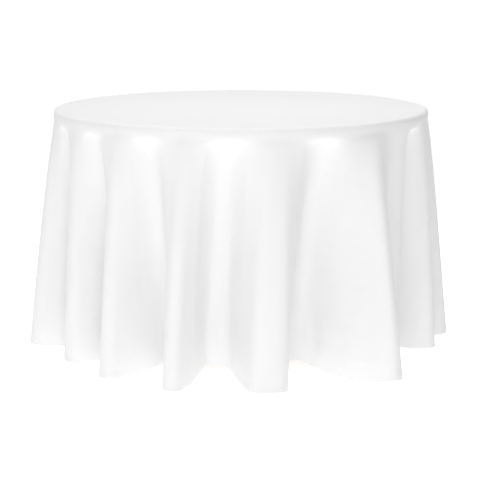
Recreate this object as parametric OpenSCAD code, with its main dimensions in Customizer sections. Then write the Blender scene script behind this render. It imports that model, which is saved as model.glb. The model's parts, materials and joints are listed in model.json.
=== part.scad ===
// A floor-length round tablecloth draped over a round folding banquet table.
// Millimetres, +Z up, front towards -Y. The origin is on the floor under the table's centre.
// "right" is the +X side and "left" the -X side; both leg frames fold inwards under the top.

/* [Table top] */
// Diameter of the top over its edge moulding
table_d = 1219.2; // [1180:0.1:1260]
// Height of the bare table surface above the floor
table_h = 762; // [755:1:775]
// Thickness of the plywood core
core_t = 19; // [15:1:22]
// Thickness of the laminate sheet on the core
laminate_t = 1; // [0.6:0.1:1.5]
// Width of the moulding round the edge of the top
edge_w = 12; // [11:0.5:14]
// Radius of the moulding's upper outer corner
edge_top_radius = 10; // [8:0.5:10]
// Radius of its lower outer corner
edge_low_radius = 4; // [2:0.5:6]
// Thickness of the ring that builds up the rim under the core
rim_t = 15; // [12:1:18]
// Width of that ring
rim_w = 50; // [40:1:60]
// Width of the two rails that carry the hinges
rail_w = 70; // [64:1:80]
// Length of the two rails
rail_len = 580; // [570:10:640]
// Thickness of the rails and stringers
rail_t = 20; // [18:1:22]
// Width of the two stringers between the rails
stringer_w = 40; // [30:1:44]
// Distance of each stringer's middle from the table's centre line
stringer_y = 110; // [105:1:115]

/* [Leg frames] */
// Distance of each hinge line from the table's centre
hinge_x = 320; // [315:1:330]
// Distance of the right frame's legs from the centre line
outer_leg_y = 200; // [198:1:205]
// Distance of the left frame's legs from the centre line, so that the frames nest
inner_leg_y = 155; // [150:1:156]
// Diameter of the leg tubes
tube_d = 28; // [25:1:28]
// Wall of all steel tubes
tube_wall = 1.4; // [1:0.1:2]
// Diameter of the pivot tubes across the heads of the legs
pivot_d = 32; // [30:1:32]
// Diameter of the hinge rods
rod_d = 12; // [10:1:14]
// Diameter of the crossbars
bar_d = 22; // [18:1:22]
// Distance of each crossbar below its hinge line
bar_drop = 290; // [280:1:295]
// Depth of the right hinge line below the rails
hinge_drop = 22; // [22:1:24]
// How much lower the left hinge line is than the right one
nest_drop = 40; // [40:1:44]
// Outer diameter of the foot caps
foot_d = 35; // [34:0.5:35]
// Height of the foot caps
foot_h = 32; // [25:1:40]
// Thickness of the foot caps' soles
sole_t = 4; // [3:0.5:6]
// Thickness of the hinge and brace brackets
plate_t = 3; // [2.5:0.5:3]

/* [Braces] */
// Distance of each brace's upper pivot from its hinge line
brace_reach = 200; // [190:1:205]
// Distance of each brace's lower pivot from the crossbar's middle
tab_reach = 24; // [24:1:26]
// Width of the brace links
link_w = 18; // [16:1:18]
// Thickness of the brace links and of the tabs on the crossbars
link_t = 4; // [3:0.5:4]
// Gap between the plates that lie side by side
link_gap = 1; // [0.5:0.1:1]
// Diameter of the brace pins
pin_d = 8; // [6:1:8]
// Distance of the tabs' inner faces from the centre line
tab_y = 26; // [20:1:28]

/* [Screws] */
// Diameter of the screws' shanks
screw_d = 4; // [3.5:0.5:4.5]
// Diameter of the screws' heads
head_d = 8; // [7:0.5:9]
// Thickness of the screws' heads
head_t = 2.5; // [2:0.1:2.8]

/* [Tablecloth] */
// Thickness of the cloth's solid
cloth_t = 2; // [1.5:0.1:2.5]
// Clear space between the cloth and the edge moulding
cloth_gap = 1; // [0.8:0.1:2]
// Clear space between the cloth and the laminate
cloth_lift = 0.4; // [0.4:0.1:1]
// Height of the hem above the floor
hem_gap = 8; // [5:1:15]
// Height of the hem band
hem_h = 15; // [12:1:25]
// How far the folds stand out from the cloth's edge at the hem
fold_out = 87; // [70:1:90]
// How far the hollows between the folds stand out at the hem
hollow_out = 12; // [8:1:20]

/* [Hidden] */

RIGHT = 1;
LEFT = -1;
FRONT = -1;
BACK = 1;

$fn = 64;

// Gap between a part and what it is fixed to, and a pin's running clearance, both on the radius
fixed_gap = 0.05;
run_gap = 0.05;

// Heights
core_top = table_h - laminate_t;
core_bottom = core_top - core_t;
rim_bottom = core_bottom - rim_t;
rim_h = table_h - rim_bottom;
rail_bottom = core_bottom - rail_t;
function hinge_z(side) = rail_bottom - hinge_drop - (side == RIGHT ? 0 : nest_drop);
function leg_y(side) = side == RIGHT ? outer_leg_y : inner_leg_y;

// Hinges: the ears stand outside the pivot tubes, whose bushings have flanges against them
flange_t = 1.5;
flange_gap = 0.5;
function pivot_half(side) = leg_y(side) + tube_d / 2;
function ear_y(side) = pivot_half(side) + flange_t + flange_gap;
bracket_w = 60;
bracket_foot = 50;
ear_w = 36;
bushing_len = 20;
rod_head_d = 18;
bracket_screw_x = 20;
// The right brackets' feet point outwards and the left ones' inwards, clear of the folded legs
function foot_out(side) = side == RIGHT ? 1 : -1;
function bracket_screw_y(side) = ear_y(side) + plate_t / 2 + foot_out(side) * (plate_t + bracket_foot) / 2;
bracket_screw_len = 16;
rail_screw_ys = [60, 280];
stringer_screw_xs = [-200, 0, 200];
rail_screw_grip = 12;

// The brace as a linkage, in the X-Z plane with the hinge line as its origin.
// It is straight with the leg down, and folds back on itself with the leg up.
brace_top = [-brace_reach, 0];
brace_low = [-tab_reach, -bar_drop];
brace_low_folded = [-bar_drop, tab_reach];
brace_len = norm(brace_low - brace_top);
brace_folded_len = norm(brace_low_folded - brace_top);
lower_link_len = (brace_len + brace_folded_len) / 2;
upper_link_len = (brace_len - brace_folded_len) / 2;
brace_angle = atan2(brace_low[1] - brace_top[1], brace_low[0] - brace_top[0]);
// The plates lie side by side from the tab outwards: tab, lower link, upper link, bracket ear
lower_link_y = tab_y + link_t + link_gap;
upper_link_y = lower_link_y + link_t + link_gap;
brace_ear_y = upper_link_y + link_t + link_gap;
brace_foot = 40;
brace_ear_w = 24;
pin_head_d = 14;
pin_head_t = 2.5;

// The cloth's folds: where each one stands, in degrees round from the front towards the right
fold_angles = [-66, -48, -33, -15, 6, 32, 61, 77, 98, 118, 140, 160, 182, 204, 226, 248, 271];
fold_steps = 8;
fold_count = len(fold_angles);
ring_count = fold_count * fold_steps;
function next_fold(i) = i + 1 < fold_count ? fold_angles[i + 1] : fold_angles[0] + 360;
function ring_angle(k) = let (i = floor(k / fold_steps), u = (k % fold_steps) / fold_steps)
  fold_angles[i] * (1 - u) + next_fold(i) * u;
function fold_share(k) = (1 + cos(360 * (k % fold_steps) / fold_steps)) / 2;

// The cloth's rows, as [radius in a hollow, radius on a fold, height], for its outer face with inset 0 and
// for its inner face with inset cloth_t. It turns over the edge on a quarter circle, hangs upright over the rim
// and then spreads into folds.
edge_r = table_d / 2 + cloth_gap + cloth_t;
cloth_top = table_h + cloth_lift + cloth_t;
shoulder = edge_top_radius + cloth_t;
skirt_h = cloth_top - hem_gap - hem_h;
function shoulder_row(a, inset) = let (r = edge_r - shoulder + (shoulder - inset) * sin(a))
  [r, r, cloth_top - shoulder + (shoulder - inset) * cos(a)];
function skirt_row(t, inset) = [
  edge_r + hollow_out * t - inset, edge_r + fold_out * t - inset, cloth_top - rim_h - (skirt_h - rim_h) * t
];
function cloth_rows(inset) = concat(
  [for (a = [0 : 22.5 : 90]) shoulder_row(a, inset)], [for (t = [0, 0.5, 1]) skirt_row(t, inset)]
);
row_count = len(cloth_rows(0));

function ring_point(row, k) = let (r = row[0] + (row[1] - row[0]) * fold_share(k), a = ring_angle(k))
  [r * sin(a), -r * cos(a)];
function ring(row) = [for (k = [0 : ring_count - 1]) ring_point(row, k)];

thread_t = 0.6;
thread_h = 1.2;

// ---- Helpers ----

module for_side(side) rotate(side == RIGHT ? 0 : 180) children();

// A cylinder along Y from y0 to y1
module rod_y(d, y0, y1) translate([0, y1, 0]) rotate([90, 0, 0]) cylinder(d = d, h = y1 - y0);

// A flat plate in the X-Z plane, from y0 to y1, of a 2-D outline
module plate_y(y0, y1) translate([0, y1, 0]) rotate([90, 0, 0]) linear_extrude(y1 - y0) children();

// A screw that goes up from z, its head below z
module screw(len) {
  translate([0, 0, -head_t]) cylinder(d = head_d, h = head_t);
  cylinder(d = screw_d, h = len);
}

module screw_hole(len) translate([0, 0, -1]) cylinder(d = screw_d + 2 * fixed_gap, h = len + 2);

module at_bracket_screws(side) for_side(side) for (f = [FRONT, BACK], x = [-1, 1])
  translate([hinge_x + x * bracket_screw_x, f * bracket_screw_y(side), rail_bottom - plate_t]) children();

module at_brace_screws(side) for_side(side) for (x = [-1, 1])
  translate([hinge_x - brace_reach + x * (brace_ear_w / 2 + 8), brace_ear_y + brace_foot / 2, core_bottom - plate_t])
    children();

module at_rail_screws() for (x = [-hinge_x, hinge_x], y = rail_screw_ys, f = [FRONT, BACK])
  translate([x, f * y, rail_bottom]) children();

module at_stringer_screws() for (x = stringer_screw_xs, f = [FRONT, BACK])
  translate([x, f * stringer_y, rail_bottom]) children();

// ---- Table top ----

module table_top() color("burlywood") difference() {
  translate([0, 0, core_bottom]) cylinder(r = table_d / 2 - edge_w, h = core_t, $fn = 180);
  at_rail_screws() screw_hole(rail_t + rail_screw_grip);
  at_stringer_screws() screw_hole(rail_t + rail_screw_grip);
  for (side = [RIGHT, LEFT]) at_brace_screws(side) screw_hole(bracket_screw_len);
}

module top_laminate() color("white")
  translate([0, 0, core_top]) cylinder(r = table_d / 2 - edge_w, h = laminate_t, $fn = 180);

module rim_ring() color("burlywood") translate([0, 0, rim_bottom]) difference() {
  cylinder(r = table_d / 2 - edge_w, h = rim_t, $fn = 180);
  translate([0, 0, -1]) cylinder(r = table_d / 2 - edge_w - rim_w, h = rim_t + 2, $fn = 180);
}

// A strip over the rim's whole height, its outer corners rounded
module edge_moulding() color("dimgray") rotate_extrude($fn = 180) translate([table_d / 2 - edge_w, rim_bottom])
  intersection() {
    square([edge_w, rim_h]);
    union() {
      square([edge_w - edge_low_radius, rim_h - edge_top_radius]);
      square([edge_w - edge_top_radius, rim_h]);
      translate([0, edge_low_radius]) square([edge_w, rim_h - edge_top_radius - edge_low_radius]);
      translate([edge_w - edge_top_radius, rim_h - edge_top_radius]) circle(r = edge_top_radius);
      translate([edge_w - edge_low_radius, edge_low_radius]) circle(r = edge_low_radius);
    }
  }

module rail(side) color("tan") difference() {
  for_side(side) translate([hinge_x - rail_w / 2, -rail_len / 2, rail_bottom]) cube([rail_w, rail_len, rail_t]);
  at_bracket_screws(side) screw_hole(bracket_screw_len);
  at_rail_screws() screw_hole(rail_t);
}

module stringer(end) color("tan") difference() {
  translate([-hinge_x + rail_w / 2, end * stringer_y - stringer_w / 2, rail_bottom])
    cube([2 * hinge_x - rail_w, stringer_w, rail_t]);
  at_stringer_screws() screw_hole(rail_t);
}

module bracket_screws() color("silver") for (side = [RIGHT, LEFT]) {
  at_bracket_screws(side) screw(bracket_screw_len);
  at_brace_screws(side) screw(bracket_screw_len);
}

module rail_screws() color("silver") {
  at_rail_screws() screw(rail_t + rail_screw_grip);
  at_stringer_screws() screw(rail_t + rail_screw_grip);
}

// ---- Hinges ----

module hinge_bracket(side, end) color("gray") difference() {
  for_side(side) translate([hinge_x, 0, 0]) mirror([0, end * side == BACK ? 0 : 1, 0]) union() {
    translate([-bracket_w / 2, ear_y(side) - (side == RIGHT ? 0 : bracket_foot), rail_bottom - plate_t])
      cube([bracket_w, plate_t + bracket_foot, plate_t]);
    plate_y(ear_y(side), ear_y(side) + plate_t) {
      translate([0, hinge_z(side)]) circle(d = ear_w);
      translate([-ear_w / 2, hinge_z(side)]) square([ear_w, rail_bottom - plate_t - hinge_z(side)]);
    }
  }
  for_side(side) translate([hinge_x, 0, hinge_z(side)])
    rod_y(rod_d + 2 * fixed_gap, -rail_len / 2, rail_len / 2);
  at_bracket_screws(side) screw_hole(plate_t);
}

module hinge_rod(side) color("silver") for_side(side) translate([hinge_x, 0, hinge_z(side)]) {
  rod_y(rod_d, -ear_y(side) - plate_t, ear_y(side) + plate_t);
  rod_y(rod_head_d, ear_y(side) + plate_t, ear_y(side) + plate_t + head_t);
  rod_y(rod_head_d, -ear_y(side) - plate_t - head_t, -ear_y(side) - plate_t);
}

module bushing(side, end) color("ivory") for_side(side) translate([hinge_x, 0, hinge_z(side)])
  mirror([0, end * side == BACK ? 0 : 1, 0]) difference() {
    union() {
      rod_y(pivot_d, pivot_half(side), pivot_half(side) + flange_t);
      rod_y(pivot_d - 2 * tube_wall - 2 * fixed_gap, pivot_half(side) - bushing_len, pivot_half(side));
    }
    rod_y(rod_d + 2 * run_gap, pivot_half(side) - bushing_len - 1, pivot_half(side) + flange_t + 1);
  }

// ---- Leg frames ----

module pivot_tube(side) color("dimgray") for_side(side) translate([hinge_x, 0, hinge_z(side)]) difference() {
  rod_y(pivot_d, -pivot_half(side), pivot_half(side));
  rod_y(pivot_d - 2 * tube_wall, -pivot_half(side) - 1, pivot_half(side) + 1);
}

module leg(side, end) color("dimgray") for_side(side) difference() {
  translate([hinge_x, end * side * leg_y(side), sole_t]) difference() {
    cylinder(d = tube_d, h = hinge_z(side) - sole_t);
    translate([0, 0, -1]) cylinder(d = tube_d - 2 * tube_wall, h = hinge_z(side));
  }
  translate([hinge_x, 0, hinge_z(side)]) rod_y(pivot_d + 2 * fixed_gap, -rail_len / 2, rail_len / 2);
}

module crossbar(side) color("dimgray") for_side(side) difference() {
  translate([hinge_x, 0, hinge_z(side) - bar_drop]) difference() {
    rod_y(bar_d, -leg_y(side), leg_y(side));
    rod_y(bar_d - 2 * tube_wall, -leg_y(side) - 1, leg_y(side) + 1);
  }
  for (y = [-1, 1]) translate([hinge_x, y * leg_y(side), 0]) cylinder(d = tube_d + 2 * fixed_gap, h = table_h);
}

module foot_cap(side, end) color("black") for_side(side) translate([hinge_x, end * side * leg_y(side), 0])
  difference() {
    cylinder(d = foot_d, h = foot_h);
    translate([0, 0, sole_t]) cylinder(d = tube_d + 2 * fixed_gap, h = foot_h);
  }

// ---- Braces ----

module brace_tab(side) color("dimgray") for_side(side) translate([hinge_x, 0, hinge_z(side) - bar_drop])
  difference() {
    plate_y(tab_y, tab_y + link_t) {
      translate([-tab_reach, 0]) circle(d = link_w);
      translate([-tab_reach, -link_w / 2]) square([tab_reach, link_w]);
    }
    rod_y(bar_d + 2 * fixed_gap, 0, 2 * brace_ear_y);
    translate([-tab_reach, 0, 0]) rod_y(pin_d + 2 * fixed_gap, 0, 2 * brace_ear_y);
  }

module brace_low_pin(side) color("silver") for_side(side)
  translate([hinge_x - tab_reach, 0, hinge_z(side) - bar_drop]) {
    rod_y(pin_head_d, tab_y - pin_head_t, tab_y);
    rod_y(pin_d, tab_y, lower_link_y + link_t + link_gap / 2);
  }

module brace_bracket(side) color("gray") difference() {
  for_side(side) translate([hinge_x - brace_reach, 0, 0]) {
    translate([-brace_ear_w / 2 - 16, brace_ear_y, core_bottom - plate_t])
      cube([brace_ear_w + 32, brace_foot, plate_t]);
    plate_y(brace_ear_y, brace_ear_y + plate_t) {
      translate([0, hinge_z(side)]) circle(d = brace_ear_w);
      translate([-brace_ear_w / 2, hinge_z(side)]) square([brace_ear_w, core_bottom - plate_t - hinge_z(side)]);
    }
  }
  for_side(side) translate([hinge_x - brace_reach, 0, hinge_z(side)])
    rod_y(pin_d + 2 * fixed_gap, 0, 2 * brace_ear_y);
  at_brace_screws(side) screw_hole(plate_t);
}

module brace_top_pin(side) color("silver") for_side(side)
  translate([hinge_x - brace_reach, 0, hinge_z(side)]) {
    rod_y(pin_head_d, brace_ear_y + plate_t, brace_ear_y + plate_t + pin_head_t);
    rod_y(pin_d, upper_link_y - link_gap / 2, brace_ear_y + plate_t);
  }

// A link from its pivot at the origin along +X, with a hole at each end
module link(length, y0, near_gap, far_gap) difference() {
  plate_y(y0, y0 + link_t) {
    for (x = [0, length]) translate([x, 0]) circle(d = link_w);
    translate([0, -link_w / 2]) square([length, link_w]);
  }
  rod_y(pin_d + 2 * near_gap, 0, 2 * brace_ear_y);
  translate([length, 0, 0]) rod_y(pin_d + 2 * far_gap, 0, 2 * brace_ear_y);
}

module brace_upper_link(side) color("silver") for_side(side)
  translate([hinge_x + brace_top[0], 0, hinge_z(side) + brace_top[1]]) rotate([0, -brace_angle, 0])
    link(upper_link_len, upper_link_y, run_gap, run_gap);

module brace_lower_link(side) color("silver") for_side(side)
  translate([hinge_x + brace_low[0], 0, hinge_z(side) + brace_low[1]]) rotate([0, 180 - brace_angle, 0])
    link(lower_link_len, lower_link_y, run_gap, fixed_gap);

module knee_rivet(side) color("silver") for_side(side)
  translate([hinge_x + brace_low[0], 0, hinge_z(side) + brace_low[1]]) rotate([0, 180 - brace_angle, 0])
    translate([lower_link_len, 0, 0]) {
      rod_y(pin_head_d, lower_link_y - pin_head_t, lower_link_y);
      rod_y(pin_d, lower_link_y, lower_link_y + link_t);
    }

// ---- Tablecloth ----

// A closed bell of cloth: the outer face from the middle of the top down to the hem, then the inner face back up
module tablecloth() color("white") {
  outer = [for (row = cloth_rows(0)) for (p = ring(row)) [p[0], p[1], row[2]]];
  inner = [for (row = cloth_rows(cloth_t)) for (p = ring(row)) [p[0], p[1], row[2]]];
  inner_start = len(outer);
  top_middle = 2 * len(outer);
  last_row = (row_count - 1) * ring_count;
  polyhedron(
    points = concat(outer, inner, [[0, 0, cloth_top], [0, 0, cloth_top - cloth_t]]),
    faces = concat(
      [for (j = [0 : row_count - 2], k = [0 : ring_count - 1]) let (n = (k + 1) % ring_count)
        each [[j * ring_count + k, j * ring_count + n, (j + 1) * ring_count + n],
          [j * ring_count + k, (j + 1) * ring_count + n, (j + 1) * ring_count + k]]],
      [for (j = [0 : row_count - 2], k = [0 : ring_count - 1]) let (n = (k + 1) % ring_count, s = inner_start)
        each [[s + j * ring_count + k, s + (j + 1) * ring_count + n, s + j * ring_count + n],
          [s + j * ring_count + k, s + (j + 1) * ring_count + k, s + (j + 1) * ring_count + n]]],
      [for (k = [0 : ring_count - 1]) let (n = (k + 1) % ring_count, o = last_row, s = inner_start + last_row)
        each [[o + k, o + n, s + n], [o + k, s + n, s + k]]],
      [for (k = [0 : ring_count - 1]) let (n = (k + 1) % ring_count)
        each [[top_middle, n, k], [top_middle + 1, inner_start + k, inner_start + n]]]
    )
  );
}

// A band as wide as the cloth is thick, along the cloth's lower edge
module hem() color("white") translate([0, 0, hem_gap]) linear_extrude(hem_h) difference() {
  polygon(ring(skirt_row(1, 0)));
  polygon(ring(skirt_row(1, cloth_t)));
}

module hem_thread() color("gainsboro") translate([0, 0, hem_gap + hem_h - 3 * thread_h]) linear_extrude(thread_h)
  difference() {
    polygon(ring(skirt_row(1, -thread_t)));
    polygon(ring(skirt_row(1, 0)));
  }

table_top();
top_laminate();
rim_ring();
edge_moulding();
rail(RIGHT);  // rail_right
rail(LEFT);  // rail_left
stringer(FRONT);  // stringer_front
stringer(BACK);  // stringer_back
hinge_bracket(RIGHT, FRONT);  // hinge_bracket_right_front
hinge_bracket(RIGHT, BACK);  // hinge_bracket_right_back
hinge_bracket(LEFT, FRONT);  // hinge_bracket_left_front
hinge_bracket(LEFT, BACK);  // hinge_bracket_left_back
hinge_rod(RIGHT);  // hinge_rod_right
hinge_rod(LEFT);  // hinge_rod_left
brace_bracket(RIGHT);  // brace_bracket_right
brace_bracket(LEFT);  // brace_bracket_left
brace_top_pin(RIGHT);  // brace_top_pin_right
brace_top_pin(LEFT);  // brace_top_pin_left
bracket_screws();
rail_screws();
pivot_tube(RIGHT);  // pivot_tube_right
bushing(RIGHT, FRONT);  // bushing_right_front
bushing(RIGHT, BACK);  // bushing_right_back
leg(RIGHT, FRONT);  // leg_right_front
leg(RIGHT, BACK);  // leg_right_back
crossbar(RIGHT);  // crossbar_right
brace_tab(RIGHT);  // brace_tab_right
brace_low_pin(RIGHT);  // brace_low_pin_right
foot_cap(RIGHT, FRONT);  // foot_cap_right_front
foot_cap(RIGHT, BACK);  // foot_cap_right_back
pivot_tube(LEFT);  // pivot_tube_left
bushing(LEFT, FRONT);  // bushing_left_front
bushing(LEFT, BACK);  // bushing_left_back
leg(LEFT, FRONT);  // leg_left_front
leg(LEFT, BACK);  // leg_left_back
crossbar(LEFT);  // crossbar_left
brace_tab(LEFT);  // brace_tab_left
brace_low_pin(LEFT);  // brace_low_pin_left
foot_cap(LEFT, FRONT);  // foot_cap_left_front
foot_cap(LEFT, BACK);  // foot_cap_left_back
brace_upper_link(RIGHT);  // brace_upper_link_right
brace_lower_link(RIGHT);  // brace_lower_link_right
knee_rivet(RIGHT);  // knee_rivet_right
brace_upper_link(LEFT);  // brace_upper_link_left
brace_lower_link(LEFT);  // brace_lower_link_left
knee_rivet(LEFT);  // knee_rivet_left
tablecloth();
hem();
hem_thread();
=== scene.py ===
import json
import math

import bmesh
import bpy
import numpy as np
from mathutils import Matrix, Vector


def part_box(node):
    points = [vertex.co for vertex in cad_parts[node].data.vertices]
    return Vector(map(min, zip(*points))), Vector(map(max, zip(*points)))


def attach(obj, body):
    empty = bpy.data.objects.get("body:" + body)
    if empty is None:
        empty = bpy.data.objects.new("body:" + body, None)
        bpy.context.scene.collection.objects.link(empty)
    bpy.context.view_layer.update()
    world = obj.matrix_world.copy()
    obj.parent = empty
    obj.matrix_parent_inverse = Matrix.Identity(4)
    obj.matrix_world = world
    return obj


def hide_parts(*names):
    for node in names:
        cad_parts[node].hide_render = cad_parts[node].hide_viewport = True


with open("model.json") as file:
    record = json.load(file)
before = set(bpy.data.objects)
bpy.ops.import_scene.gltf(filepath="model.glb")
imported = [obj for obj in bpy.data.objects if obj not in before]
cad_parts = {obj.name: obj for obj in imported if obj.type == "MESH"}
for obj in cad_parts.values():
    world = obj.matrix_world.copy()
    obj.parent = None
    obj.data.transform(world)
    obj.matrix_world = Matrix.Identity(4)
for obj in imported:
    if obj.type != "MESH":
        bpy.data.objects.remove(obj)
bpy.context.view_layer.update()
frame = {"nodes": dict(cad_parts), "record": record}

scene = bpy.context.scene
TURN = 2 * math.pi

# ---------------------------------------------------------------- the table's own sizes, in metres
rim_low, rim_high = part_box("edge_moulding")
TOP_R = rim_high.x
TOP_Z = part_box("top_laminate")[1].z
RIM_H = TOP_Z - rim_low.z
CORNER = 0.010
LOW_CORNER = 0.004

# ---------------------------------------------------------------- the cloth as it is cut and hung
CLOTH_R = 1.3716
HEM_H = 0.015
HEM_CLEAR = 0.003  # from the hem to the floor
LAY = 0.0006  # from the cloth's surface to the table under it
CREST_EASE = 0.022  # how round the crests of the folds are at the hem
FLARE = 0.8  # how early the crests lead out from the rim, below 1 for early
GROOVE = 0.6  # how early the hollows lead in under it
GROOVE_EASE = 0.06  # how far inside the rim a hollow lies before it is all groove
MIN_DROP = 0.3  # the least share of a row's length that goes downwards
EDGE_LIFT = 0.3  # the share that is kept of the lift at the table's edge
GATHER = 0.00035  # how far the sewing makes the hem ripple

# The grid of rings that settles, and the finer one of the finished cloth
SECTORS = 360
SKIRT_ROWS = 38
FINE_SECTORS = 1080
FINE_STEP = 0.5
FLAT_RINGS = [0.15, 0.30, 0.42, 0.50, 0.55, 0.575]
MIDDLE_RINGS = [0.594, 0.585, 0.568, 0.535, 0.47, 0.38, 0.28, 0.18, 0.09]
HALVING_R = 0.59  # inside this radius each ring has half the sectors of the one outside it

# Each fold of the skirt, going round from the left of the front: the angle of its crest in degrees (0 is
# the front, 90 the right), how far out the crest stands, half its width in degrees, the two angles between
# which the hollow after it lies, and how much further round the crest starts at the table's rim than it
# ends at the hem. How deep each hollow goes follows from the length of hem there is.
FOLDS = [
    (-75.5, 0.712, 3.0, -70.0, -65.0, 0.0),
    (-56.0, 0.662, 3.0, -49.5, -44.5, 0.0),
    (-37.0, 0.697, 2.0, -29.0, -23.5, 0.0),
    (-17.0, 0.722, 2.2, -13.5, -4.5, 1.8),
    (6.8, 0.714, 4.4, 16.5, 23.5, 3.5),
    (35.5, 0.806, 1.5, 40.5, 46.5, 4.4),
    (54.0, 0.600, 2.5, 59.0, 63.0, 1.0),
    (71.5, 0.664, 2.5, 77.0, 80.0, 0.0),
    (87.0, 0.696, 3.0, 93.5, 98.0, 0.0),
    (105.0, 0.700, 3.0, 112.0, 118.0, 0.0),
    (125.0, 0.705, 3.0, 132.0, 137.0, 0.0),
    (144.0, 0.695, 3.0, 151.0, 156.0, 0.0),
    (163.0, 0.705, 3.0, 170.0, 176.0, 0.0),
    (183.0, 0.700, 3.0, 190.0, 196.0, 0.0),
    (203.0, 0.705, 3.0, 210.0, 216.0, 0.0),
    (223.0, 0.695, 3.0, 230.0, 236.0, 0.0),
    (243.0, 0.700, 3.0, 250.0, 256.0, 0.0),
    (263.0, 0.695, 3.0, 270.0, 277.0, 0.0),
]


def around(degrees, radius):
    """The plan point at an angle from the front and a radius."""
    a = math.radians(degrees)
    return [radius * math.sin(a), -radius * math.cos(a)]


def even_loop(corners, count):
    """A closed line through the corners, as count points the same distance apart."""
    loop = np.array(corners + corners[:1])
    run = np.r_[0, np.cumsum(np.linalg.norm(np.diff(loop, axis=0), axis=1))]
    at = np.linspace(0, run[-1], count, endpoint=False)
    return np.c_[np.interp(at, run, loop[:, 0]), np.interp(at, run, loop[:, 1])], run[-1]


def rounded(loop, length, radius):
    """The same loop with its corners eased over about that radius."""
    wave = np.fft.fftfreq(len(loop), d=length / len(loop)) * TURN
    keep = np.exp(-0.5 * (wave * radius) ** 2)
    return np.fft.ifft(np.fft.fft(loop, axis=0) * keep[:, None], axis=0).real


def hem_line(sector_angles):
    """Where the hem lies in plan for each angle of the cut cloth; hollows deepen until all of it is used."""
    hollow = [0.5] * len(FOLDS)
    for _ in range(12):
        corners = []
        for i, (crest, reach, half, first, last, _) in enumerate(FOLDS):
            corners += [around(crest - half, reach), around(crest, reach), around(crest + half, reach)]
            corners += [around(first, hollow[i]), around(last, hollow[i])]
        loop, length = even_loop(corners, 8192)
        loop = rounded(loop, length, CREST_EASE)
        run = np.r_[0, np.cumsum(np.linalg.norm(np.roll(loop, -1, axis=0) - loop, axis=1))]
        crests = [int(np.argmin(np.linalg.norm(loop - around(f[0], f[1]), axis=1))) for f in FOLDS]
        starts = [run[c] for c in crests]
        starts = [s if s >= starts[0] else s + run[-1] for s in starts] + [starts[0] + run[-1]]
        turns = [f[0] + f[5] for f in FOLDS] + [FOLDS[0][0] + 360]
        for i in range(len(FOLDS)):
            need = math.radians(turns[i + 1] - turns[i]) * CLOTH_R
            hollow[i] -= (need - (starts[i + 1] - starts[i])) / 2 * 0.7
    at = np.mod(np.interp(sector_angles, turns, starts), run[-1])
    closed = np.vstack([loop, loop[:1]])
    return np.c_[np.interp(at, run, closed[:, 0]), np.interp(at, run, closed[:, 1])]


FLAT_R = TOP_R - CORNER
ROUND_LEN = math.pi / 2 * CORNER
SKIRT_AT = FLAT_R + ROUND_LEN + RIM_H - CORNER
SKIRT_STEP = (CLOTH_R - SKIRT_AT) / SKIRT_ROWS
rows = FLAT_RINGS + [FLAT_R]
FLAT_ROWS = len(rows)
rows += [FLAT_R + ROUND_LEN * k / 3 for k in (1, 2, 3)] + [(FLAT_R + ROUND_LEN + SKIRT_AT) / 2, SKIRT_AT]
EDGE_ROW = len(rows) - 1
rows += [SKIRT_AT + SKIRT_STEP * k for k in range(1, SKIRT_ROWS + 1)]
angles = FOLDS[0][0] + np.arange(SECTORS) * 360 / SECTORS
out = np.c_[np.sin(np.radians(angles)), -np.cos(np.radians(angles))]


def start_shape():
    """The cloth laid over the top, with its skirt led to the hem line: rows x sectors x 3."""
    hem = hem_line(angles)
    rim = out * (TOP_R + LAY)
    inward = np.clip((TOP_R - np.linalg.norm(hem, axis=1)) / GROOVE_EASE, 0, 1)
    power = FLARE + (GROOVE - FLARE) * inward ** 2 * (3 - 2 * inward)
    shape = np.zeros((len(rows), SECTORS, 3))
    for j, r in enumerate(rows):
        if r <= FLAT_R:
            shape[j, :, :2] = out * r
            shape[j, :, 2] = TOP_Z + LAY
        elif r <= FLAT_R + ROUND_LEN:
            a = (r - FLAT_R) / CORNER
            shape[j, :, :2] = out * (FLAT_R + (CORNER + LAY) * math.sin(a))
            shape[j, :, 2] = TOP_Z - CORNER + (CORNER + LAY) * math.cos(a)
        elif j <= EDGE_ROW:
            shape[j, :, :2] = rim
            shape[j, :, 2] = TOP_Z - CORNER - (r - FLAT_R - ROUND_LEN)
        else:
            lead = ((r - SKIRT_AT) / (CLOTH_R - SKIRT_AT)) ** power
            shape[j, :, :2] = rim + (hem - rim) * lead[:, None]
            across = np.linalg.norm(shape[j, :, :2] - shape[j - 1, :, :2], axis=1)
            down = np.sqrt(np.maximum(SKIRT_STEP ** 2 - across ** 2, (MIN_DROP * SKIRT_STEP) ** 2))
            shape[j, :, 2] = shape[j - 1, :, 2] - down
    return shape


def polar_faces(row_count, sectors, first=0, closed=False):
    """The quads of a grid of rings; a closed one joins its last ring to its first."""
    faces = []
    for j in range(row_count if closed else row_count - 1):
        a = first + j * sectors
        b = first + (j + 1) % row_count * sectors
        faces += [(a + k, b + k, b + (k + 1) % sectors, a + (k + 1) % sectors) for k in range(sectors)]
    return faces


def mesh_object(name, points, faces, smooth=True):
    mesh = bpy.data.meshes.new(name)
    mesh.from_pydata(np.asarray(points).tolist(), [], faces)
    mesh.update()
    mesh.polygons.foreach_set("use_smooth", [smooth] * len(mesh.polygons))
    made = bpy.data.objects.new(name, mesh)
    scene.collection.objects.link(made)
    return made


def facing_out(made):
    """The closed mesh with all its faces turned outwards."""
    work = bmesh.new()
    work.from_mesh(made.data)
    bmesh.ops.recalc_face_normals(work, faces=work.faces)
    work.to_mesh(made.data)
    work.free()
    return made


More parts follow.
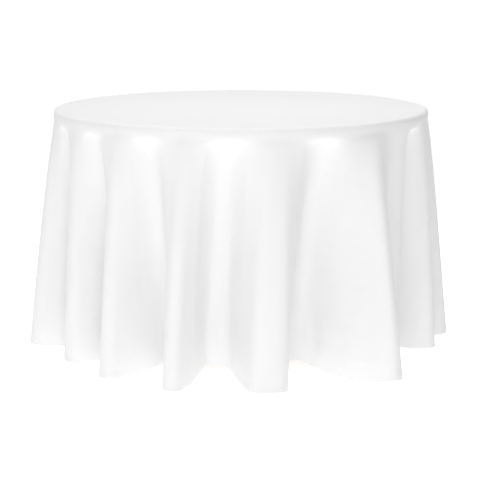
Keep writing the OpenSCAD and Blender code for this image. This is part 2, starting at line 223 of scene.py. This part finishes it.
def turned(name, profile, sectors):
    """A closed body of revolution about Z from a profile of (radius, z), both ends on the axis."""
    a = np.arange(sectors) * TURN / sectors
    points = [(0, 0, profile[0][1])]
    for r, z in profile[1:-1]:
        points += list(zip(r * np.sin(a), -r * np.cos(a), np.full(sectors, z)))
    points.append((0, 0, profile[-1][1]))
    last, ring = len(points) - 1, len(profile) - 3
    faces = [(1 + k, 0, 1 + (k + 1) % sectors) for k in range(sectors)]
    faces += polar_faces(ring + 1, sectors, 1)
    faces += [(last, last - sectors + k, last - sectors + (k + 1) % sectors) for k in range(sectors)]
    return facing_out(mesh_object(name, points, faces))


def hang(shape, frames=40):
    """Lets the cloth settle on the table under gravity, and returns the shape it takes."""
    flat = np.zeros_like(shape)
    flat[:, :, :2] = np.array(rows)[:, None, None] * out[None]
    faces = [(0, 1 + k, 1 + (k + 1) % SECTORS) for k in range(SECTORS)]
    faces += polar_faces(len(rows), SECTORS, 1)
    cloth = mesh_object("settling", np.vstack([[(0, 0, 0)], flat.reshape(-1, 3)]), faces)
    cloth.shape_key_add(name="flat")
    key = cloth.shape_key_add(name="hung")
    key.data.foreach_set("co", np.vstack([[(0, 0, TOP_Z + LAY)], shape.reshape(-1, 3)]).ravel())
    key.value = 1.0
    pin = cloth.vertex_groups.new(name="pin")
    pin.add(list(range(1 + SECTORS * (FLAT_ROWS - 1))), 1.0, "REPLACE")

    low = TOP_Z - RIM_H
    eased = 0.3 * LOW_CORNER
    profile = [(0, low), (TOP_R - LOW_CORNER, low), (TOP_R - eased, low + eased), (TOP_R, low + LOW_CORNER)]
    for a in np.radians([0, 22.5, 45, 67.5, 90]):
        profile.append((FLAT_R + CORNER * math.cos(a), TOP_Z - CORNER + CORNER * math.sin(a)))
    form = turned("form", profile + [(0, TOP_Z)], 256)
    form.modifiers.new("Collision", "COLLISION")
    form.collision.thickness_outer = 0.001
    form.collision.cloth_friction = 20
    form.collision.damping = 0.2

    solver = cloth.modifiers.new("Cloth", "CLOTH")
    fabric = solver.settings
    fabric.quality = 5
    fabric.mass = 0.001
    fabric.air_damping = 1.0
    fabric.tension_stiffness = 40
    fabric.compression_stiffness = 40
    fabric.shear_stiffness = 5
    fabric.bending_model = "ANGULAR"
    fabric.bending_stiffness = 5
    fabric.bending_damping = 0.5
    fabric.tension_damping = 5
    fabric.compression_damping = 5
    fabric.shear_damping = 5
    fabric.vertex_group_mass = "pin"
    fabric.rest_shape_key = cloth.data.shape_keys.key_blocks["flat"]
    solver.collision_settings.collision_quality = 2
    solver.collision_settings.distance_min = 0.001
    solver.collision_settings.use_self_collision = False
    solver.point_cache.frame_start = 1
    solver.point_cache.frame_end = frames
    scene.frame_start = 1
    scene.frame_end = frames
    for f in range(1, frames + 1):
        scene.frame_set(f)
    settled = cloth.evaluated_get(bpy.context.evaluated_depsgraph_get()).data
    co = np.empty(len(settled.vertices) * 3)
    settled.vertices.foreach_get("co", co)
    result = co.reshape(-1, 3)[1:].reshape(shape.shape)
    for o in (cloth, form):
        bpy.data.objects.remove(o)
    scene.frame_set(1)
    return result


def between(points, at):
    """A smooth curve through points along the first axis, read at fractional places."""
    last = len(points) - 1
    k = np.clip(np.floor(at).astype(int), 0, last - 1)
    t = (at - k)[:, None, None]
    p0, p1 = points[np.maximum(k - 1, 0)], points[k]
    p2, p3 = points[k + 1], points[np.minimum(k + 2, last)]
    p0 = np.where((k == 0)[:, None, None], 2 * p1 - p2, p0)
    p3 = np.where((k == last - 1)[:, None, None], 2 * p2 - p1, p3)
    bend = 2 * p0 - 5 * p1 + 4 * p2 - p3
    return p1 + 0.5 * t * (p2 - p0 + t * (bend + t * (3 * (p1 - p2) + p3 - p0)))


def finer_round(shape, count):
    """The same rings with count sectors."""
    wrapped = np.concatenate([shape[:, -2:], shape, shape[:, :3]], axis=1).transpose(1, 0, 2)
    return between(wrapped, 2 + np.arange(count) * SECTORS / count).transpose(1, 0, 2)


settled = start_shape()
settled = hang(settled)

# Stiffness lifts the cloth a little where it starts to bend over the edge: most of that lift is pressed out.
lifted = np.maximum(settled[:, :, 2] - (TOP_Z + LAY), 0)
settled[:, :, 2] -= lifted * (1 - EDGE_LIFT)

# Ripples as narrow as the grid itself are evened out near the rim, and less and less down to the hem.
down = np.clip((np.array(rows) - SKIRT_AT) / (CLOTH_R - SKIRT_AT), 0, 1)
for _ in range(2):
    beside = np.roll(settled, 1, axis=1) + np.roll(settled, -1, axis=1)
    settled += (beside - 2 * settled) / 6 * (1 - down)[:, None, None]

# The hem ends clear of the floor.
settled[:, :, 2] += (HEM_CLEAR - settled[-1, :, 2].min()) * down[:, None]

# Rows of the finished skirt, closer together than the settled ones, with three more for the sewn hem.
hem_rows = np.array([CLOTH_R - HEM_H * 1.6, CLOTH_R - HEM_H, CLOTH_R - HEM_H * 0.5, CLOTH_R])
skirt_rows = np.arange(SKIRT_AT, CLOTH_R - HEM_H * 2.2, SKIRT_STEP * FINE_STEP)
skirt_rows = np.r_[skirt_rows, hem_rows]
rim_rows = np.array(rows[FLAT_ROWS - 1:EDGE_ROW])
row_at = np.r_[np.arange(FLAT_ROWS - 1, EDGE_ROW), EDGE_ROW + (skirt_rows - SKIRT_AT) / SKIRT_STEP]
fine = finer_round(between(settled, row_at), FINE_SECTORS)
fine_rows = np.r_[rim_rows, skirt_rows]
fine_angles = np.radians(FOLDS[0][0] + np.arange(FINE_SECTORS) * 360 / FINE_SECTORS)
fine_out = np.c_[np.sin(fine_angles), -np.cos(fine_angles)]


def outward(grid):
    """Unit normals of a grid of rings, pointing away from the table."""
    along = np.roll(grid, -1, axis=1) - np.roll(grid, 1, axis=1)
    down = np.gradient(grid, axis=0)
    n = np.cross(down, along)
    return n / np.maximum(np.linalg.norm(n, axis=2, keepdims=True), 1e-12)


# Sewing draws the hem up a little: a low ripple along the stitched line, fading above and below it.
ripple = np.zeros(FINE_SECTORS)
for waves, size, shift in ((149, 1.0, 0.4), (211, 0.8, 1.9), (263, 0.6, 4.1)):
    ripple += size * np.sin(waves * fine_angles + shift)
near_hem = np.exp(-((fine_rows - (CLOTH_R - HEM_H)) / (HEM_H * 1.1)) ** 2)
fine += outward(fine) * (GATHER * ripple[None, :] * near_hem[:, None])[:, :, None]


def middle(first):
    """The flat middle of the cloth, in plan: rings with fewer and fewer sectors, numbered from first."""
    plan, faces = [], []
    outer = list(range(FINE_SECTORS))
    count = first
    for radius in MIDDLE_RINGS:
        wide = len(outer)
        halve = wide % 2 == 0 and radius < HALVING_R
        sectors = wide // 2 if halve else wide
        a = np.radians(FOLDS[0][0]) + np.arange(sectors) * TURN / sectors
        plan.append(np.c_[np.sin(a), -np.cos(a)] * radius)
        inner = [count + k for k in range(sectors)]
        count += sectors
        for k in range(sectors):
            after = (k + 1) % sectors
            if halve:
                faces.append((inner[k], outer[2 * k], outer[2 * k + 1]))
                faces.append((inner[k], outer[2 * k + 1], outer[(2 * k + 2) % wide], inner[after]))
            else:
                faces.append((inner[k], outer[k], outer[after], inner[after]))
        outer = inner
    plan.append([(0, 0)])
    faces += [(count, outer[k], outer[(k + 1) % len(outer)]) for k in range(len(outer))]
    return np.vstack(plan), faces


def keep_flat_place(piece, plan):
    """Gives each point its place on the cloth as it was cut, which the weave follows."""
    place = piece.data.attributes.new("flat_place", "FLOAT_VECTOR", "POINT")
    place.data.foreach_set("vector", np.c_[plan, np.zeros(len(plan))].ravel())


centre, centre_faces = middle(fine.shape[0] * FINE_SECTORS)
points = np.vstack([fine.reshape(-1, 3), np.c_[centre, np.full(len(centre), TOP_Z + LAY)]])
cloth = mesh_object("cloth", points, polar_faces(len(fine_rows), FINE_SECTORS) + centre_faces)
keep_flat_place(cloth, np.vstack([(fine_rows[:, None, None] * fine_out[None]).reshape(-1, 2), centre]))


# ---------------------------------------------------------------- the hem, turned in twice, and its stitching
def hem_band():
    """The turned-in part behind the cloth: a flat closed section, swept along the edge.

    The section's points are how far up from the edge and how far behind the cloth they are, in millimetres.
    """
    section = [(15.0, 0.12), (15.3, 0.6), (14.9, 1.0), (8.0, 1.15), (1.0, 1.1), (-0.5, 0.9), (-0.9, 0.5)]
    section += [(-0.6, 0.1), (0.3, 0.08)]
    normals = outward(fine)
    edge, inside = fine[-1], normals[-1]
    stitched = fine[-3]
    rings = []
    for up, behind in section:
        share = up / (HEM_H * 1000)
        normal = inside + (normals[-3] - inside) * min(max(share, 0), 1)
        rings.append(edge + (stitched - edge) * share - normal * behind / 1000)
    faces = polar_faces(len(section), FINE_SECTORS, closed=True)
    band = mesh_object("hem_band", np.array(rings).reshape(-1, 3), faces)
    flat = np.repeat([CLOTH_R - up / 1000 for up, _ in section], FINE_SECTORS)
    keep_flat_place(band, np.tile(fine_out, (len(section), 1)) * flat[:, None])
    return facing_out(band)


def stitches(pitch=0.0040, thread=0.00028, inset=0.0025, outside=0.00022, inside=-0.00140):
    """A lockstitch all along the hem, inset from the band's upper edge: short stitches outside and inside."""
    normals = outward(fine)
    share = (HEM_H - inset) / HEM_H
    line = fine[-1] + (fine[-3] - fine[-1]) * share
    normal = normals[-1] + (normals[-3] - normals[-1]) * share
    closed = np.vstack([line, line[:1]])
    closed_normal = np.vstack([normal, normal[:1]])
    run = np.r_[0, np.cumsum(np.linalg.norm(np.diff(closed, axis=0), axis=1))]
    total = int(run[-1] / pitch)
    mid = (np.arange(total) + 0.5) * run[-1] / total

    def read(table, where):
        return np.stack([np.interp(where % run[-1], run, table[:, i]) for i in range(3)], axis=1)

    half = pitch * 0.42
    sides = 6
    points, faces = [], []
    for lift, shift in ((outside, 0.0), (inside, pitch / 2)):
        centre = mid + shift
        tip_a, tip_b = read(closed, centre - half), read(closed, centre + half)
        up = read(closed_normal, centre)
        up /= np.linalg.norm(up, axis=1, keepdims=True)
        along = tip_b - tip_a
        along /= np.linalg.norm(along, axis=1, keepdims=True)
        side = np.cross(along, up)
        middle = (tip_a + tip_b) / 2 + up * lift
        sign = 1 if lift > 0 else -1
        # Along each stitch: how far from its middle, how thick, and how far it sinks into the cloth
        stations = [(-1.0, 0.35, -0.9), (-0.6, 1.0, 0.0), (0.6, 1.0, 0.0), (1.0, 0.35, -0.9)]
        base = sum(len(p) for p in points)
        rings = []
        for reach, fat, sink in stations:
            for k in range(sides):
                a = TURN * k / sides
                ring = middle + along * (half * reach) + up * (sign * sink * thread)
                ring = ring + (side * math.cos(a) + up * math.sin(a) * 0.7) * (thread * fat)
                rings.append(ring)
        block = np.stack(rings, axis=1)
        points.append(block.reshape(-1, 3))
        size = sides * len(stations)
        one = [tuple(range(sides))[::-1], tuple(range(size - sides, size))]
        for j in range(len(stations) - 1):
            for k in range(sides):
                a, b = j * sides + k, j * sides + (k + 1) % sides
                one.append((a, b, b + sides, a + sides))
        for s in range(total):
            faces += [tuple(base + s * size + i for i in f) for f in one]
    return facing_out(mesh_object("hem_stitches", np.vstack(points), faces))


hem = hem_band()
thread = stitches()

# ---------------------------------------------------------------- materials


def add(tree, kind, values=None, **settings):
    """A shader node with its socket values and its settings."""
    made = tree.nodes.new("ShaderNode" + kind)
    for key, value in (values or {}).items():
        made.inputs[key].default_value = value
    for key, value in settings.items():
        setattr(made, key, value)
    return made


def wire(tree, source, socket, target, entry):
    tree.links.new(source.outputs[socket], target.inputs[entry])


def ramp(tree, source, socket, stops):
    """A colour ramp over a value, with stops of (place, colour)."""
    made = add(tree, "ValToRGB")
    while len(made.color_ramp.elements) < len(stops):
        made.color_ramp.elements.new(0.5)
    for element, (place, colour) in zip(made.color_ramp.elements, stops):
        element.position = place
        element.color = (*colour, 1)
    wire(tree, source, socket, made, "Fac")
    return made


def spread(tree, source, socket, low, high, first=0.3, last=0.7):
    """A value mapped from the middle of a noise to low..high."""
    made = add(tree, "MapRange", {"From Min": first, "From Max": last, "To Min": low, "To Max": high})
    wire(tree, source, socket, made, "Value")
    return made


def noise(tree, where, socket, stretch, scale, detail=4.0, rough=0.55):
    """Noise in coordinates stretched by three factors."""
    mapped = add(tree, "Mapping", {"Scale": stretch})
    wire(tree, where, socket, mapped, "Vector")
    made = add(tree, "TexNoise", {"Scale": scale, "Detail": detail, "Roughness": rough})
    wire(tree, mapped, "Vector", made, "Vector")
    return made


def bumped(tree, shader, source, socket, strength, distance, before=None):
    made = add(tree, "Bump", {"Strength": strength, "Distance": distance})
    wire(tree, source, socket, made, "Height")
    if before:
        wire(tree, before, "Normal", made, "Normal")
    wire(tree, made, "Normal", shader, "Normal")
    return made


def blank(name, metallic=0.0, sheen=0.0, coat=0.0):
    made = bpy.data.materials.new(name)
    made.use_nodes = True
    tree = made.node_tree
    shader = tree.nodes["Principled BSDF"]
    shader.inputs["Metallic"].default_value = metallic
    shader.inputs["Sheen Weight"].default_value = sheen
    shader.inputs["Sheen Roughness"].default_value = 0.6
    shader.inputs["Coat Weight"].default_value = coat
    return made, tree, shader


def woven(name, light, dark, pitch=0.0009):
    """White plain-weave polyester: over-and-under bumps, a thicker thread here and there, a matt sheen."""
    made, tree, shader = blank(name, sheen=0.15)
    place = add(tree, "Attribute", attribute_name="flat_place")
    parts = add(tree, "SeparateXYZ")
    wire(tree, place, "Vector", parts, "Vector")
    waves = []
    for axis in "XY":
        scaled = add(tree, "Math", {1: TURN / pitch}, operation="MULTIPLY")
        wire(tree, parts, axis, scaled, 0)
        wave = add(tree, "Math", operation="SINE")
        wire(tree, scaled, "Value", wave, 0)
        waves.append(wave)
    weave = add(tree, "Math", operation="MULTIPLY")
    wire(tree, waves[0], "Value", weave, 0)
    wire(tree, waves[1], "Value", weave, 1)
    warp = noise(tree, place, "Vector", (14.0, 900.0, 1.0), 1.0, 3.0)
    weft = noise(tree, place, "Vector", (900.0, 14.0, 1.0), 1.0, 3.0)
    slub = add(tree, "Math", operation="ADD")
    wire(tree, warp, "Fac", slub, 0)
    wire(tree, weft, "Fac", slub, 1)
    broad = noise(tree, place, "Vector", (1.0, 1.0, 1.0), 5.0, 2.0)
    both = add(tree, "Math", operation="ADD")
    wire(tree, slub, "Value", both, 0)
    wire(tree, broad, "Fac", both, 1)
    tint = ramp(tree, spread(tree, both, "Value", 0.0, 1.0, 1.1, 1.9), "Result", [(0, dark), (1, light)])
    wire(tree, tint, "Color", shader, "Base Color")
    wire(tree, spread(tree, slub, "Value", 0.70, 0.86, 0.7, 1.3), "Result", shader, "Roughness")
    threads = bumped(tree, shader, slub, "Value", 0.06, 0.0001)
    bumped(tree, shader, weave, "Value", 0.25, 0.00008, threads)
    return made


def grained(name, dark, mid, light, stretch, plies=0.0):
    """Wood with its grain along one axis, and with plies of that thickness where it has them."""
    made, tree, shader = blank(name)
    where = add(tree, "TexCoord")
    figure = noise(tree, where, "Object", stretch, 1.0, 6.0)
    pores = noise(tree, where, "Object", [s * 6 for s in stretch], 1.0, 3.0, 0.7)
    mix = add(tree, "Math", {1: 0.35}, operation="MULTIPLY")
    wire(tree, pores, "Fac", mix, 0)
    total = add(tree, "Math", operation="ADD")
    wire(tree, figure, "Fac", total, 0)
    wire(tree, mix, "Value", total, 1)
    source = total
    if plies:
        parts = add(tree, "SeparateXYZ")
        wire(tree, where, "Object", parts, "Vector")
        layer = add(tree, "Math", {1: math.pi / plies}, operation="MULTIPLY")
        wire(tree, parts, "Z", layer, 0)
        wave = add(tree, "Math", operation="SINE")
        wire(tree, layer, "Value", wave, 0)
        weak = add(tree, "Math", {1: 0.14}, operation="MULTIPLY")
        wire(tree, wave, "Value", weak, 0)
        source = add(tree, "Math", operation="ADD")
        wire(tree, total, "Value", source, 0)
        wire(tree, weak, "Value", source, 1)
    tint = ramp(tree, spread(tree, source, "Value", 0.0, 1.0, 0.4, 0.95), "Result",
                [(0.0, dark), (0.5, mid), (1.0, light)])
    wire(tree, tint, "Color", shader, "Base Color")
    wire(tree, spread(tree, figure, "Fac", 0.5, 0.72), "Result", shader, "Roughness")
    bumped(tree, shader, pores, "Fac", 0.35, 0.0004)
    return made


def speckled(name, base, dots, scale, rough, bump, coat=0.0):
    """Moulded plastic or laminate: a base colour with fine flecks and a fine-grained surface."""
    made, tree, shader = blank(name, coat=coat)
    where = add(tree, "TexCoord")
    fleck = noise(tree, where, "Object", (1, 1, 1), scale, 5.0, 0.7)
    wear = noise(tree, where, "Object", (1, 1, 1), 9.0, 4.0)
    tint = ramp(tree, fleck, "Fac", [(0.30, dots), (0.46, base), (0.62, base), (0.80, dots)])
    wire(tree, tint, "Color", shader, "Base Color")
    wire(tree, spread(tree, wear, "Fac", rough - 0.08, rough + 0.1), "Result", shader, "Roughness")
    bumped(tree, shader, fleck, "Fac", bump, 0.0003)
    return made


def metal(name, base, shade, rough, scale, worn=None, painted=False):
    """Plated steel, or steel under powder coat that shines where its edges are worn."""
    made, tree, shader = blank(name, metallic=0.0 if painted else 1.0)
    where = add(tree, "TexCoord")
    cloud = noise(tree, where, "Object", (1, 1, 1), scale, 5.0, 0.6)
    fine_grain = noise(tree, where, "Object", (1, 1, 1), scale * 9, 3.0, 0.6)
    tint = ramp(tree, cloud, "Fac", [(0.30, shade), (0.70, base)])
    wire(tree, tint, "Color", shader, "Base Color")
    wire(tree, spread(tree, cloud, "Fac", rough - 0.07, rough + 0.12), "Result", shader, "Roughness")
    if worn:
        edge = add(tree, "NewGeometry")
        sharp = spread(tree, edge, "Pointiness", 0.0, 1.0, 0.60, 0.72)
        rub = add(tree, "Math", operation="MULTIPLY")
        wire(tree, sharp, "Result", rub, 0)
        wire(tree, spread(tree, cloud, "Fac", 0.2, 1.0), "Result", rub, 1)
        blend = add(tree, "Mix", data_type="RGBA")
        wire(tree, rub, "Value", blend, 0)
        tree.links.new(tint.outputs["Color"], blend.inputs[6])
        blend.inputs[7].default_value = (*worn, 1)
        tree.links.new(blend.outputs[2], shader.inputs["Base Color"])
    bumped(tree, shader, fine_grain, "Fac", 0.2, 0.0002)
    return made


finishes = {
    "cloth": woven("white_polyester", (0.84, 0.84, 0.84), (0.815, 0.815, 0.815)),
    "thread": speckled("white_thread", (0.84, 0.84, 0.83), (0.74, 0.74, 0.73), 900.0, 0.7, 0.5),
    "plywood": grained("birch_plywood", (0.36, 0.22, 0.11), (0.56, 0.39, 0.22), (0.68, 0.51, 0.32),
                       (6.0, 90.0, 320.0), plies=0.0019),
    "rail_wood": grained("planed_softwood", (0.38, 0.24, 0.12), (0.55, 0.38, 0.20), (0.66, 0.49, 0.29),
                         (110.0, 7.0, 110.0)),
    "laminate": speckled("table_laminate", (0.56, 0.54, 0.49), (0.40, 0.38, 0.34), 420.0, 0.38, 0.15, 0.1),
    "moulding": speckled("vinyl_edge", (0.028, 0.025, 0.022), (0.016, 0.014, 0.013), 300.0, 0.48, 0.4),
    "tube_paint": metal("powder_coat", (0.040, 0.041, 0.044), (0.028, 0.028, 0.030), 0.42, 90.0,
                        worn=(0.30, 0.29, 0.28), painted=True),
    "plated_steel": metal("zinc_plate", (0.50, 0.49, 0.46), (0.34, 0.34, 0.33), 0.34, 60.0),
    "bracket_steel": metal("plated_sheet", (0.47, 0.47, 0.45), (0.31, 0.32, 0.33), 0.38, 35.0,
                           worn=(0.75, 0.75, 0.73)),
    "nylon": speckled("natural_nylon", (0.66, 0.62, 0.52), (0.58, 0.54, 0.44), 160.0, 0.45, 0.2),
    "foot_rubber": speckled("moulded_rubber", (0.022, 0.022, 0.022), (0.045, 0.043, 0.040), 240.0, 0.78, 0.5),
}

for row in frame["record"]["subparts"]:
    node_materials = frame["nodes"][row["node"]].data.materials
    node_materials.clear()
    node_materials.append(finishes[row["material_slot"]])

replaced = ((cloth, "cloth", "tablecloth"), (hem, "cloth", "hem"), (thread, "thread", "hem_thread"))
for piece, slot_name, node in replaced:
    piece.data.materials.append(finishes[slot_name])
    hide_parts(node)
    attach(piece, "cloth")

# ---------------------------------------------------------------- floor, light and camera
def white_floor(half=9, glow=0.72):
    """A pale floor that glows a little, so that it stays even out to its edges."""
    made = mesh_object("floor", [(-half, -half, 0), (half, -half, 0), (half, half, 0), (-half, half, 0)],
                       [(0, 1, 2, 3)], False)
    white, _, shader = blank("white_floor")
    shader.inputs["Base Color"].default_value = (0.9, 0.9, 0.9, 1)
    shader.inputs["Roughness"].default_value = 0.9
    shader.inputs["Emission Color"].default_value = (1, 1, 1, 1)
    shader.inputs["Emission Strength"].default_value = glow
    made.data.materials.append(white)
    return made


def studio(left=0.49, right=0.145, backdrop=1.1):
    """A white room that lights the object more from its left, and that looks plain white itself."""
    world = bpy.data.worlds.new("studio")
    world.use_nodes = True
    tree = world.node_tree
    walls = tree.nodes["Background"]
    walls.inputs["Color"].default_value = (1, 1, 1, 1)
    where = add(tree, "TexCoord")
    axes = add(tree, "SeparateXYZ")
    wire(tree, where, "Generated", axes, "Vector")
    side = add(tree, "MapRange", {"From Min": -1.0, "From Max": 1.0, "To Min": left, "To Max": right})
    wire(tree, axes, "X", side, "Value")
    wire(tree, side, "Result", walls, "Strength")
    plain = add(tree, "Background", {"Color": (1, 1, 1, 1), "Strength": backdrop})
    seen = add(tree, "LightPath")
    choose = add(tree, "MixShader")
    wire(tree, seen, "Is Camera Ray", choose, 0)
    wire(tree, walls, "Background", choose, 1)
    wire(tree, plain, "Background", choose, 2)
    wire(tree, choose, "Shader", tree.nodes["World Output"], "Surface")
    return world


def softbox(name, place, target, size, power):
    """A square soft light at a place, turned towards a target."""
    data = bpy.data.lights.new(name, "AREA")
    data.shape = "SQUARE"
    data.size = size
    data.energy = power
    made = bpy.data.objects.new(name, data)
    made.location = place
    way = made.location - Vector(target)
    made.rotation_euler = way.to_track_quat("Z", "Y").to_euler()
    scene.collection.objects.link(made)
    return made


def camera_at(place, down, lens):
    """A camera at a place, looking along +Y and down by an angle in degrees."""
    made = bpy.data.objects.new("camera", bpy.data.cameras.new("camera"))
    made.location = place
    made.rotation_euler = (math.radians(90 - down), 0, 0)
    made.data.lens = lens
    made.data.sensor_width = 36
    made.data.clip_end = 200
    scene.collection.objects.link(made)
    return made


white_floor()
scene.world = studio()
softbox("key", (-2.4, -4.0, 2.6), (0, 0, 0.4), 1.6, 6)
softbox("front", (0.0, -5.2, 1.1), (0, 0, 0.35), 2.4, 62)
softbox("overhead", (0, 0, 3.2), (0, 0, 0.7), 2.5, 65)
scene.camera = camera_at((-0.003, -4.254, 1.200), down=11.77, lens=96.75)
scene.view_settings.view_transform = "Standard"
scene.view_settings.look = "None"
